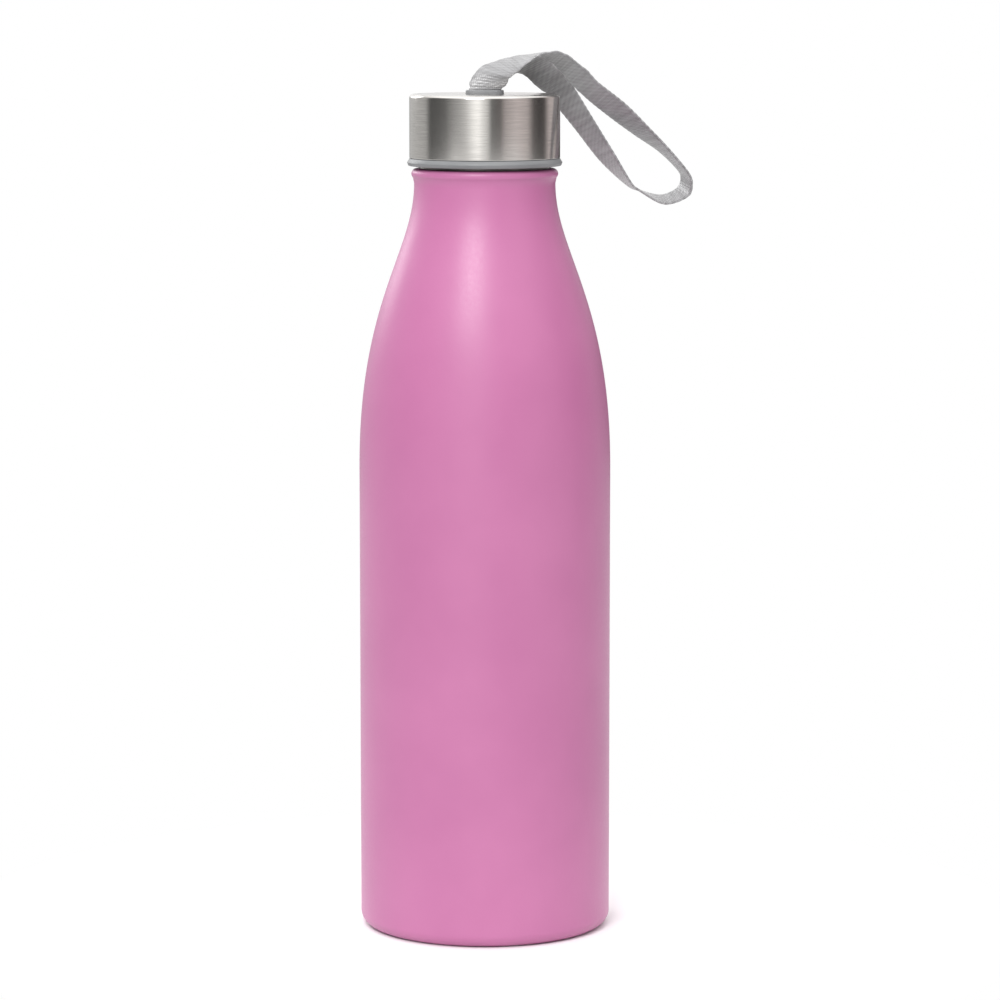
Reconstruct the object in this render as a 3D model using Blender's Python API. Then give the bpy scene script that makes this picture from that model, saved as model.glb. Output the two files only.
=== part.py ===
"""A single-wall steel water bottle with a screw cap and a ribbon carry loop.

Units are metres, +Z is up, and the origin is the centre of the base ring that the bottle stands on.
The cap screws on a right-hand thread about +Z. The carry loop hangs over the cap's edge towards +X
and lifts about a line across the top of its arch.
"""

from math import cos, pi, sin, tau

import bmesh
import bpy
from mathutils import Matrix, Vector

MM = 0.001
GAP = 0.3 * MM  # between pieces that touch on the real bottle
SEGMENTS = 40  # facets round a turned piece

# Bottle
BODY_RADIUS = 36.5 * MM
WALL = 0.5 * MM
SHOULDER_START = 135.0 * MM
SHOULDER_PULL = 49.0 * MM  # how far the curve leaves the body straight up
HEEL_RADIUS = 4.0 * MM
RECESS_RADIUS = 29.9 * MM  # the hollow under the base
RECESS_HEIGHT = 3.2 * MM
RECESS_FILLET = 0.8 * MM
DISC_FLANGE = 2.0 * MM
DISC_CROWN = 2.0 * MM  # how far the bottom domes up at its centre
WAIST_RADIUS = 20.4 * MM
WAIST_HEIGHT = 217.5 * MM
WAIST_PULL = 20.0 * MM  # how far the curve leaves the waist straight down
BEAD_RADIUS = 21.2 * MM
BEAD_HEIGHT = 220.2 * MM
BEAD_ROUND = 1.5 * MM
NECK_RADIUS = 18.4 * MM
MOUTH_HEIGHT = 238.0 * MM
LIP_ROUND = 0.6 * MM

# Thread
THREAD_PITCH = 4.5 * MM
THREAD_DEPTH = 0.9 * MM
THREAD_FADE = 2.0 * MM  # height over which a ridge runs out at its ends
THREAD_ROW = THREAD_PITCH / 6
NECK_THREAD = (224.5 * MM, 235.75 * MM)
CAP_THREAD = (225.0 * MM, 237.0 * MM)

# Cap
CAP_TOP = 243.0 * MM
CAP_RADIUS = 21.75 * MM
CAP_SHELL_BOTTOM = 224.7 * MM
CAP_ROUND = 1.0 * MM
LIP_RADIUS = 22.4 * MM  # the insert's flared lip under the steel
LIP_BOTTOM = 222.5 * MM
INSERT_RADIUS = CAP_RADIUS - WALL - GAP
INSERT_BORE = 19.7 * MM
INSERT_CEILING = 239.6 * MM
INSERT_TOP = CAP_TOP - WALL - GAP
SEAL_GROOVE_TOP = 240.6 * MM
SEAL_GROOVE_INNER = 16.5 * MM
SEAL_INNER = 16.8 * MM
SEAL_OUTER = 19.3 * MM
SEAL_BOTTOM = MOUTH_HEIGHT + GAP

# Ribbon holder in the cap
COLLAR_LENGTH = 11.0 * MM
COLLAR_DEPTH = 5.0 * MM
COLLAR_TOP = 244.2 * MM
FLANGE_RADIUS = 10.0 * MM
FLANGE_THICK = 1.0 * MM
FLANGE_TOP = INSERT_TOP
SLOT_LENGTH = 9.8 * MM
SLOT_DEPTH = 3.2 * MM
LUG_INNER = 5.0 * MM
LUG_OUTER = 6.6 * MM
LUG_DEPTH = 4.8 * MM
LUG_BOTTOM = 235.9 * MM
PIN_RADIUS = 1.2 * MM
PIN_HEIGHT = 238.2 * MM
POCKET_RADIUS = 8.2 * MM  # hole through the insert for the lugs
PLUG_INNER_RADIUS = 9.0 * MM
PLUG_OUTER_RADIUS = 10.2 * MM
PLUG_RIM_RADIUS = 16.2 * MM
PLUG_RIM_THICK = 1.3 * MM
PLUG_FLOOR = 235.4 * MM
PLUG_BOTTOM = 234.2 * MM

# Ribbon
RIBBON_WIDTH = 10.0 * MM
RIBBON_SLOT_WIDTH = 8.8 * MM  # the ribbon is gathered where it passes the slot
RIBBON_THICK = 0.9 * MM
RIBBON_SPREAD = (COLLAR_TOP + 0.5 * MM, COLLAR_TOP + 2.0 * MM)  # heights between which it widens again
RIBBON_STEP = 2.0 * MM
LOOP_PIVOT = Vector((15.7, 2.5, 254.9)) * MM  # the loop lifts about a line across the top of the arch

# The ribbon's route in millimetres, from the pin up through the slot, round the loop and back down
# to the pin: the middle of the ribbon, and the direction of its width, towards its right-hand edge.
RIBBON_ROUTE = (
    ((0.0, 0.0, 236.2), (1.0, 0.0, 0.0)),
    ((0.0, -1.4, 236.8), (1.0, 0.0, 0.0)),
    ((0.0, -2.0, 238.2), (1.0, 0.0, 0.0)),
    ((0.0, -1.5, 239.7), (1.0, 0.0, 0.0)),
    ((0.0, -0.8, 241.5), (1.0, 0.0, 0.0)),
    ((0.0, -0.8, 244.0), (1.0, 0.0, 0.0)),
    ((2.0, -1.0, 248.0), (0.9, -0.35, -0.2)),
    ((3.5, -0.5, 249.5), (0.75, -0.6, -0.3)),
    ((8.0, 0.5, 251.5), (0.4, -0.85, -0.3)),
    ((11.0, 1.5, 253.0), (0.35, -0.95, -0.15)),
    ((14.0, 2.0, 254.0), (0.3, -0.95, 0.0)),
    ((17.0, 3.0, 254.5), (0.25, -0.95, 0.1)),
    ((21.5, 4.5, 253.0), (0.3, -0.9, 0.3)),
    ((27.0, 7.0, 248.0), (0.4, -0.85, 0.4)),
    ((31.0, 8.5, 244.0), (0.45, -0.75, 0.45)),
    ((38.5, 11.5, 238.0), (0.55, -0.7, 0.4)),
    ((45.5, 13.5, 232.0), (0.5, -0.85, 0.25)),
    ((52.5, 15.0, 226.0), (0.4, -0.9, 0.0)),
    ((58.0, 16.0, 220.0), (0.35, -0.95, -0.1)),
    ((59.0, 16.5, 217.0), (0.35, -0.95, -0.15)),
    ((58.0, 17.0, 214.0), (0.35, -0.9, -0.2)),
    ((54.0, 17.0, 212.0), (0.2, -0.95, -0.25)),
    ((50.5, 17.0, 212.0), (0.1, -0.95, -0.2)),
    ((45.0, 17.0, 214.5), (0.0, -1.0, 0.05)),
    ((42.0, 17.0, 216.5), (0.15, -1.0, 0.1)),
    ((35.5, 16.5, 224.5), (0.45, -0.85, 0.3)),
    ((28.5, 16.5, 234.5), (0.6, -0.7, 0.35)),
    ((21.0, 15.5, 245.0), (0.8, -0.45, 0.45)),
    ((18.0, 15.0, 248.0), (0.8, -0.4, 0.45)),
    ((15.0, 14.0, 250.5), (0.8, -0.45, 0.4)),
    ((11.0, 12.5, 251.5), (0.8, -0.45, 0.4)),
    ((6.5, 9.5, 251.0), (0.8, -0.5, 0.35)),
    ((3.5, 6.5, 250.0), (0.85, -0.5, 0.2)),
    ((1.5, 3.5, 248.5), (0.9, -0.4, 0.1)),
    ((0.0, 0.8, 244.0), (1.0, 0.0, 0.0)),
    ((0.0, 0.8, 241.5), (1.0, 0.0, 0.0)),
    ((0.0, 1.5, 239.7), (1.0, 0.0, 0.0)),
    ((0.0, 2.0, 238.2), (1.0, 0.0, 0.0)),
    ((0.0, 1.4, 236.8), (1.0, 0.0, 0.0)),
)


# ---------------------------------------------------------------- scene and materials


def clear_scene():
    for old in list(bpy.data.objects):
        bpy.data.objects.remove(old, do_unlink=True)


def material(name, color, roughness, metallic=0.0):
    made = bpy.data.materials.new(name)
    made.use_nodes = True
    shader = made.node_tree.nodes["Principled BSDF"]
    shader.inputs["Base Color"].default_value = (*color, 1.0)
    shader.inputs["Roughness"].default_value = roughness
    shader.inputs["Metallic"].default_value = metallic
    return made


def new_object(name, bm, look=None, smooth=True):
    """An object made from a bmesh, which is freed."""
    bmesh.ops.recalc_face_normals(bm, faces=bm.faces)
    mesh = bpy.data.meshes.new(name)
    bm.to_mesh(mesh)
    bm.free()
    if smooth:
        mesh.shade_smooth()
        mesh.set_sharp_from_angle(angle=pi / 6)
    made = bpy.data.objects.new(name, mesh)
    bpy.context.scene.collection.objects.link(made)
    if look:
        mesh.materials.append(look)
    return made


# ---------------------------------------------------------------- outlines, as (radius, height)


def arc(centre, radius, start, end, steps):
    """Points on an arc, with angles in degrees from the outward direction."""
    angles = [start + (end - start) * i / steps for i in range(steps + 1)]
    return [
        (centre[0] + radius * cos(a * pi / 180), centre[1] + radius * sin(a * pi / 180)) for a in angles
    ]


def bezier(a, b, c, d, steps):
    points = []
    for i in range(steps + 1):
        t = i / steps
        u = 1 - t
        weights = (u**3, 3 * u * u * t, 3 * u * t * t, t**3)
        points.append(tuple(sum(w * p[k] for w, p in zip(weights, (a, b, c, d))) for k in (0, 1)))
    return points


def inset(points, distance):
    """The outline moved by a distance to the right of its direction, corner by corner."""
    moved = []
    for i, here in enumerate(points):
        before = Vector(points[max(i - 1, 0)])
        after = Vector(points[min(i + 1, len(points) - 1)])
        here = Vector(here)
        into = (here - before).normalized() if i else (after - here).normalized()
        out = (after - here).normalized() if i < len(points) - 1 else into
        normal_in = Vector((into.y, -into.x))
        normal_out = Vector((out.y, -out.x))
        middle = (normal_in + normal_out).normalized()
        moved.append(tuple(here + middle * distance / max(middle.dot(normal_in), 0.3)))
    return moved


def rows(low, high, spacing):
    """Heights from high to low, evenly spaced."""
    steps = round((high - low) / spacing)
    return [high + (low - high) * i / steps for i in range(steps + 1)]


def turned(name, outline, look, closed=True, segments=SEGMENTS):
    """A solid of revolution about Z, from a closed outline or one that ends on the axis."""
    bm = bmesh.new()
    points = [bm.verts.new((r, 0, z)) for r, z in outline]
    edges = [bm.edges.new(pair) for pair in zip(points, points[1:])]
    if closed:
        edges.append(bm.edges.new((points[-1], points[0])))
    bmesh.ops.spin(
        bm,
        geom=points + edges,
        cent=(0, 0, 0),
        axis=(0, 0, 1),
        angle=tau,
        steps=segments,
        use_merge=True,
    )
    bmesh.ops.remove_doubles(bm, verts=bm.verts, dist=0.001 * MM)
    return new_object(name, bm, look)


# ---------------------------------------------------------------- thread


def smooth_step(t):
    t = min(max(t, 0.0), 1.0)
    return t * t * (3 - 2 * t)


def ridge(angle, z, span, phase):
    """Height of the right-hand helical ridge at a point of the wall."""
    turns = (z - NECK_THREAD[0]) / THREAD_PITCH - angle / tau + phase
    wave = 0.5 + 0.5 * cos(tau * turns)
    fade = smooth_step((z - span[0]) / THREAD_FADE) * smooth_step((span[1] - z) / THREAD_FADE)
    return THREAD_DEPTH * wave * wave * fade


def cut_thread(piece, wall_radius, span, phase, side):
    """Moves one wall of a turned piece out (side 1) or in (side -1) along the thread."""
    for vertex in piece.data.vertices:
        flat = Vector((vertex.co.x, vertex.co.y))
        on_wall = abs(flat.length - wall_radius) < 0.01 * MM
        if on_wall and span[0] <= vertex.co.z <= span[1]:
            angle = Vector((1, 0)).angle_signed(flat) * -1
            flat *= 1 + side * ridge(angle, vertex.co.z, span, phase) / flat.length
            vertex.co.x, vertex.co.y = flat


# ---------------------------------------------------------------- cutting and joining


def tool(made):
    made.hide_render = True
    made.display_type = "WIRE"
    return made


def combine(target, helper, operation):
    modifier = target.modifiers.new(operation.title() + " " + helper.name, "BOOLEAN")
    modifier.operation = operation
    modifier.object = tool(helper)


def slot_shape(name, length, depth, bottom, top, round_steps=6):
    """An upright prism with a stadium outline, long along X."""
    bm = bmesh.new()
    radius = depth / 2
    reach = length / 2 - radius
    right = [(reach + radius * cos(a), radius * sin(a)) for a in arc_angles(-pi / 2, round_steps)]
    left = [(-reach + radius * cos(a), radius * sin(a)) for a in arc_angles(pi / 2, round_steps)]
    base = bm.faces.new([bm.verts.new((x, y, bottom)) for x, y in right + left])
    grown = bmesh.ops.extrude_face_region(bm, geom=[base])["geom"]
    moved = [item for item in grown if isinstance(item, bmesh.types.BMVert)]
    bmesh.ops.translate(bm, verts=moved, vec=(0, 0, top - bottom))
    return new_object(name, bm)


def arc_angles(start, steps):
    return [start + pi * i / steps for i in range(steps + 1)]


def block(name, low, high):
    bm = bmesh.new()
    bmesh.ops.create_cube(bm, size=1.0)
    for vertex in bm.verts:
        vertex.co = [l + (h - l) * (c + 0.5) for l, h, c in zip(low, high, vertex.co)]
    return new_object(name, bm, smooth=False)


def rod(name, radius, half_length, height, look=None, segments=20, chamfer=0.0):
    """A round bar along X."""
    bm = bmesh.new()
    bmesh.ops.create_cone(
        bm, cap_ends=True, segments=segments, radius1=radius, radius2=radius, depth=2 * half_length
    )
    if chamfer:
        rims = [e for e in bm.edges if abs(abs(e.verts[0].co.z) - half_length) < GAP / 10]
        rims = [e for e in rims if abs(e.verts[0].co.z - e.verts[1].co.z) < GAP / 10]
        bmesh.ops.bevel(bm, geom=rims, offset=chamfer, segments=1, affect="EDGES")
    for vertex in bm.verts:
        vertex.co = (vertex.co.z, vertex.co.y, height - vertex.co.x)
    return new_object(name, bm, look)


# ---------------------------------------------------------------- bottle


def shoulder():
    waist = (WAIST_RADIUS, WAIST_HEIGHT)
    below_waist = (WAIST_RADIUS, WAIST_HEIGHT - WAIST_PULL)
    above_body = (BODY_RADIUS, SHOULDER_START + SHOULDER_PULL)
    return bezier(waist, below_waist, above_body, (BODY_RADIUS, SHOULDER_START), 11)


def bottle_shell(look):
    bead_centre = (BEAD_RADIUS - BEAD_ROUND, BEAD_HEIGHT)
    neck_foot = BEAD_HEIGHT + BEAD_ROUND
    heel_centre = (BODY_RADIUS - HEEL_RADIUS, HEEL_RADIUS)
    recess_corner = (RECESS_RADIUS + RECESS_FILLET, RECESS_FILLET)
    lower = [(NECK_RADIUS, neck_foot + 0.5 * MM), (NECK_RADIUS + 0.5 * MM, neck_foot)]
    lower += arc(bead_centre, BEAD_ROUND, 90, -45, 5)
    lower += shoulder()
    lower += arc(heel_centre, HEEL_RADIUS, 0, -90, 5)
    lower += arc(recess_corner, RECESS_FILLET, -90, -180, 2)
    lower += [(RECESS_RADIUS, RECESS_HEIGHT)]
    lip = arc((NECK_RADIUS - LIP_ROUND, MOUTH_HEIGHT - LIP_ROUND), LIP_ROUND, 180, 0, 6)
    neck = [(NECK_RADIUS, z) for z in rows(*NECK_THREAD, THREAD_ROW)]
    inside = inset(lower, WALL)[::-1]
    inner_neck = [(NECK_RADIUS - WALL, MOUTH_HEIGHT - 3 * LIP_ROUND)]
    made = turned("bottle_shell", lip + neck + lower + inside + inner_neck, look)
    cut_thread(made, NECK_RADIUS, NECK_THREAD, 0.0, 1)
    return made


def base_disc(look):
    rim = RECESS_RADIUS - GAP
    foot = RECESS_HEIGHT - DISC_FLANGE - WALL
    top = RECESS_HEIGHT - WALL / 2
    below = [(0, top - WALL + DISC_CROWN)]
    below += [(rim * 0.35, top - WALL + DISC_CROWN * 0.87), (rim * 0.7, top - WALL + DISC_CROWN * 0.5)]
    below += [(rim - 2.5 * MM, top - WALL), (rim - WALL - 0.5 * MM, top - WALL), (rim - WALL, top - 2 * WALL)]
    outside = [(rim - WALL, foot), (rim, foot), (rim, top - WALL), (rim - WALL, top)]
    above = [(r, z + WALL) for r, z in below[:4]][::-1]
    return turned("base_disc", below + outside + above, look, closed=False)


# ---------------------------------------------------------------- cap


def cap_shell(look):
    inner = CAP_RADIUS - WALL
    ceiling = CAP_TOP - WALL
    outside = [(0, CAP_TOP)]
    outside += arc((CAP_RADIUS - CAP_ROUND, CAP_TOP - CAP_ROUND), CAP_ROUND, 90, 0, 4)
    outside += [(CAP_RADIUS, CAP_SHELL_BOTTOM), (inner, CAP_SHELL_BOTTOM)]
    inside = arc((inner - CAP_ROUND / 2, ceiling - CAP_ROUND / 2), CAP_ROUND / 2, 0, 90, 2)
    made = turned("cap_shell", outside + inside + [(0, ceiling)], look, closed=False)
    opening = slot_shape(
        "cap_shell_slot", COLLAR_LENGTH + 2 * GAP, COLLAR_DEPTH + 2 * GAP, ceiling - GAP, CAP_TOP + GAP
    )
    combine(made, opening, "DIFFERENCE")
    return made


def cap_insert(look):
    lip_round = 0.5 * MM
    lip_top = CAP_SHELL_BOTTOM - GAP
    shelf = FLANGE_TOP - FLANGE_THICK - GAP
    outside = [(INSERT_RADIUS - 0.7 * MM, INSERT_TOP), (INSERT_RADIUS, INSERT_TOP - 0.7 * MM)]
    outside += [(INSERT_RADIUS, lip_top), (LIP_RADIUS - lip_round, lip_top)]
    outside += [(LIP_RADIUS, lip_top - lip_round), (LIP_RADIUS - lip_round, LIP_BOTTOM)]
    mouth = [(INSERT_BORE + 0.7 * MM, LIP_BOTTOM), (INSERT_BORE, LIP_BOTTOM + 1.2 * MM)]
    bore = [(INSERT_BORE, z) for z in rows(*CAP_THREAD, THREAD_ROW)[::-1]]
    groove = [(INSERT_BORE, SEAL_GROOVE_TOP), (SEAL_GROOVE_INNER, SEAL_GROOVE_TOP)]
    groove += [(SEAL_GROOVE_INNER, INSERT_CEILING)]
    pocket = [(POCKET_RADIUS, INSERT_CEILING), (POCKET_RADIUS, shelf)]
    pocket += [(FLANGE_RADIUS + GAP, shelf), (FLANGE_RADIUS + GAP, INSERT_TOP)]
    made = turned("cap_insert", outside + mouth + bore + groove + pocket, look)
    cut_thread(made, INSERT_BORE, CAP_THREAD, 0.5, -1)
    return made


def seal_ring(look):
    top = SEAL_GROOVE_TOP - GAP
    soft = 0.5 * MM
    outline = [(SEAL_INNER, SEAL_BOTTOM + soft), (SEAL_INNER, top), (SEAL_OUTER, top)]
    outline += [(SEAL_OUTER, SEAL_BOTTOM + soft), (SEAL_OUTER - soft, SEAL_BOTTOM)]
    outline += [(SEAL_INNER + soft, SEAL_BOTTOM)]
    return turned("seal_ring", outline, look)


def inner_plug(look):
    rim_top = INSERT_CEILING - GAP
    rim_bottom = rim_top - PLUG_RIM_THICK
    soft = 0.6 * MM
    outline = [(0, PLUG_BOTTOM), (PLUG_OUTER_RADIUS - soft, PLUG_BOTTOM)]
    outline += [(PLUG_OUTER_RADIUS, PLUG_BOTTOM + soft), (PLUG_OUTER_RADIUS, rim_bottom)]
    outline += [(PLUG_RIM_RADIUS, rim_bottom), (PLUG_RIM_RADIUS, rim_top), (PLUG_INNER_RADIUS, rim_top)]
    outline += [(PLUG_INNER_RADIUS, PLUG_FLOOR), (0, PLUG_FLOOR)]
    return turned("inner_plug", outline, look, closed=False, segments=32)


def strap_collar(look):
    flange_bottom = FLANGE_TOP - FLANGE_THICK
    inside_flange = FLANGE_TOP - FLANGE_THICK / 2
    edge = 0.35 * MM
    flange = [(0, flange_bottom), (FLANGE_RADIUS, flange_bottom), (FLANGE_RADIUS, FLANGE_TOP)]
    made = turned("strap_collar", flange + [(0, FLANGE_TOP)], look, closed=False, segments=32)
    rim = slot_shape("collar_rim", COLLAR_LENGTH, COLLAR_DEPTH, inside_flange, COLLAR_TOP)
    soften = rim.modifiers.new("Edge", "BEVEL")
    soften.width = edge
    soften.segments = 1
    soften.limit_method = "ANGLE"
    soften.angle_limit = pi / 3
    combine(made, rim, "UNION")
    for side, name in ((1, "collar_lug_right"), (-1, "collar_lug_left")):
        x = sorted((side * LUG_INNER, side * LUG_OUTER))
        lug = block(name, (x[0], -LUG_DEPTH / 2, LUG_BOTTOM), (x[1], LUG_DEPTH / 2, inside_flange))
        combine(made, lug, "UNION")
    half_slot = (SLOT_LENGTH / 2, SLOT_DEPTH / 2)
    slot = block("collar_slot", (-half_slot[0], -half_slot[1], LUG_BOTTOM), (*half_slot, COLLAR_TOP + GAP))
    combine(made, slot, "DIFFERENCE")
    bore = rod("collar_bore", PIN_RADIUS + GAP, LUG_OUTER + GAP, PIN_HEIGHT)
    combine(made, bore, "DIFFERENCE")
    return made


def strap_pin(look):
    return rod("strap_pin", PIN_RADIUS, LUG_OUTER, PIN_HEIGHT, look, chamfer=0.25 * MM)


# ---------------------------------------------------------------- ribbon


def curve_point(track, i, t):
    """A point of the closed Catmull-Rom curve through the track, t of the way from point i."""
    count = len(track)
    a, b, c, d = (track[(i + k) % count] for k in (-1, 0, 1, 2))
    return (
        2 * b + (c - a) * t + (2 * a - 5 * b + 4 * c - d) * t * t + (3 * b - a - 3 * c + d) * t**3
    ) / 2


def ribbon_stations():
    """The closed ribbon as (middle, width direction, along), about a step apart."""
    middles = [Vector(point) * MM for point, _ in RIBBON_ROUTE]
    widths = [Vector(width) for _, width in RIBBON_ROUTE]
    line = []
    for i in range(len(middles)):
        length = (middles[(i + 1) % len(middles)] - middles[i]).length
        steps = max(1, round(length / RIBBON_STEP))
        for k in range(steps):
            t = k / steps
            line.append((curve_point(middles, i, t), curve_point(widths, i, t)))
    stations = []
    for i, (middle, width) in enumerate(line):
        along = (line[(i + 1) % len(line)][0] - line[i - 1][0]).normalized()
        stations.append((middle, width.normalized(), along))
    return stations


def ribbon_width(z):
    low, high = RIBBON_SPREAD
    share = smooth_step((z - low) / (high - low))
    return RIBBON_SLOT_WIDTH + (RIBBON_WIDTH - RIBBON_SLOT_WIDTH) * share


def cut_at_pivot(stations, rising):
    """The station where the ribbon crosses the line that the loop lifts about."""
    for i in range(1, len(stations)):
        a, b = stations[i - 1][0].x, stations[i][0].x
        crosses = a < LOOP_PIVOT.x <= b if rising else b <= LOOP_PIVOT.x < a
        if crosses:
            t = (LOOP_PIVOT.x - a) / (b - a)
            pair = zip(stations[i - 1], stations[i])
            middle, width, along = (p.lerp(q, t) for p, q in pair)
            return i, (middle, width.normalized(), along.normalized())
    raise ValueError("the ribbon never crosses its pivot line")


def pulled_back(station, distance):
    middle, width, along = station
    return (middle + along * distance, width, along)


def ribbon(name, stations, look):
    """A closed strip with a rectangular section at each station."""
    bm = bmesh.new()
    sections = []
    for middle, width, along in stations:
        square = width.cross(along)  # shorter than one where the width runs slantwise
        half = width * ribbon_width(middle.z) / (2 * square.length)
        up = square.normalized() * RIBBON_THICK / 2
        corners = (middle - half - up, middle + half - up, middle + half + up, middle - half + up)
        sections.append([bm.verts.new(corner) for corner in corners])
    for first, second in zip(sections, sections[1:]):
        for k in range(4):
            bm.faces.new((first[k], first[(k + 1) % 4], second[(k + 1) % 4], second[k]))
    bm.faces.new(sections[0])
    bm.faces.new(sections[-1][::-1])
    return new_object(name, bm, look)


def carry_loop(look):
    stations = ribbon_stations()
    up_at, up_station = cut_at_pivot(stations, rising=True)
    down_at, down_station = cut_at_pivot(stations, rising=False)
    loop = [pulled_back(up_station, GAP)] + stations[up_at + 1 : down_at - 1]
    loop += [pulled_back(down_station, -GAP)]
    tail = [pulled_back(down_station, GAP)] + stations[down_at + 1 :] + stations[: up_at - 1]
    tail += [pulled_back(up_station, -GAP)]
    ribbon("strap_tail", tail, look)
    hanging = ribbon("strap_loop", loop, look)
    hanging.data.transform(Matrix.Translation(-LOOP_PIVOT))
    hanging.location = LOOP_PIVOT


# ---------------------------------------------------------------- the whole bottle


def build():
    clear_scene()
    coat = material("coat", (0.66, 0.27, 0.47), 0.45)
    steel = material("bare_steel", (0.62, 0.6, 0.57), 0.35, metallic=1.0)
    brushed = material("brushed_steel", (0.68, 0.66, 0.63), 0.3, metallic=1.0)
    grey = material("grey_plastic", (0.31, 0.33, 0.35), 0.5)
    inner = material("inner_plastic", (0.75, 0.76, 0.76), 0.45)
    silicone = material("silicone", (0.8, 0.8, 0.78), 0.6)
    webbing = material("ribbon", (0.45, 0.46, 0.48), 0.6)
    bottle_shell(coat)
    base_disc(steel)
    cap_shell(brushed)
    cap_insert(grey)
    strap_collar(grey)
    strap_pin(steel)
    inner_plug(inner)
    seal_ring(silicone)
    carry_loop(webbing)


build()
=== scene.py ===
"""Looks for the steel water bottle: powder coat, bare and brushed steel, moulded plastic and ribbon.

Units are metres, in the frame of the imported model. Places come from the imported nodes' boxes.
"""

from math import atan2, cos, pi, radians, sin, tau

import bmesh
import bpy
import numpy as np
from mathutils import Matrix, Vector


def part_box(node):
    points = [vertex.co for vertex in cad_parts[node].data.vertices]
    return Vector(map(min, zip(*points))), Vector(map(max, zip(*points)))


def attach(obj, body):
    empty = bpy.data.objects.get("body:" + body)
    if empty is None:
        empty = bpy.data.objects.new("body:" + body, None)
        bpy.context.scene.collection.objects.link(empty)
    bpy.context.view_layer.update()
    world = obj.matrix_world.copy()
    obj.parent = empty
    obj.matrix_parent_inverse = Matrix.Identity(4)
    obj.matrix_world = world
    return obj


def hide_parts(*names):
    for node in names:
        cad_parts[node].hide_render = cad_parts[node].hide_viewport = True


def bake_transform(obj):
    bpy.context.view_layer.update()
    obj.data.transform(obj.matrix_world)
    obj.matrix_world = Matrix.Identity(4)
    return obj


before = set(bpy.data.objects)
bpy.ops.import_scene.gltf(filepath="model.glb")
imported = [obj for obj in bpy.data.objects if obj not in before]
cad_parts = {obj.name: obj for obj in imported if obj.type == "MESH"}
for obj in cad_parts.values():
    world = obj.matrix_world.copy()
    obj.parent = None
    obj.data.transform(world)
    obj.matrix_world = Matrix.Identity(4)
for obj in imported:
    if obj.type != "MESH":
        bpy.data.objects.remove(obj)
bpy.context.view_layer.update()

MM = 0.001
FINE = 192  # facets round a large turned piece
SMALL = 96  # facets round a small one

# What the frame says
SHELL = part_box("bottle_shell")
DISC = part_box("base_disc")
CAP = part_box("cap_shell")
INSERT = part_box("cap_insert")
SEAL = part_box("seal_ring")
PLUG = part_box("inner_plug")
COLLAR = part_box("strap_collar")
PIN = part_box("strap_pin")

# Bottle
BODY_RADIUS = SHELL[1].x
MOUTH_HEIGHT = SHELL[1].z
WALL = 0.5 * MM
COAT = 0.12 * MM  # thickness of the powder coat
COAT_GAP = 0.02 * MM
SHOULDER_START = 135.0 * MM
SHOULDER_PULL = 49.0 * MM
WAIST = (20.4 * MM, 217.5 * MM)
WAIST_PULL = 20.0 * MM
HEEL_RADIUS = 4.0 * MM
RECESS_RADIUS = 29.9 * MM
RECESS_FILLET = 0.8 * MM
RECESS_HEIGHT = 3.2 * MM
BEAD = (21.2 * MM, 220.2 * MM)
BEAD_ROUND = 1.5 * MM
NECK_RADIUS = 18.4 * MM
LIP_ROUND = 0.6 * MM

# Thread
THREAD_PITCH = 4.5 * MM
THREAD_DEPTH = 0.9 * MM
THREAD_FADE = 2.0 * MM
THREAD_ROW = THREAD_PITCH / 18
NECK_THREAD = (224.5 * MM, 235.75 * MM)
CAP_THREAD = (225.0 * MM, 237.0 * MM)

# Cap
CAP_RADIUS = CAP[1].x
CAP_TOP = CAP[1].z
CAP_BOTTOM = CAP[0].z
CAP_ROUND = 1.0 * MM
LIP_RADIUS = INSERT[1].x
LIP_BOTTOM = INSERT[0].z
INSERT_TOP = INSERT[1].z
INSERT_BORE = 19.7 * MM
INSERT_CEILING = 239.6 * MM
SEAL_GROOVE_TOP = 240.6 * MM
SEAL_GROOVE_INNER = 16.5 * MM
POCKET_RADIUS = 8.2 * MM
SLOT_HALF = (4.9 * MM, 1.6 * MM)
COLLAR_HALF = (5.5 * MM, 2.5 * MM)

# Ribbon
RIBBON_WIDTH = 10.0 * MM
RIBBON_SLOT_WIDTH = 8.8 * MM
RIBBON_THICK = 0.7 * MM
RIBBON_SPREAD = (COLLAR[1].z + 0.5 * MM, COLLAR[1].z + 2.0 * MM)
RIBBON_STEP = 0.12 * MM
RIB_PITCH = 0.85 * MM
RIB_HEIGHT = 0.06 * MM
SCALLOP = 0.12 * MM  # how far the selvedges wave in and out

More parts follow.
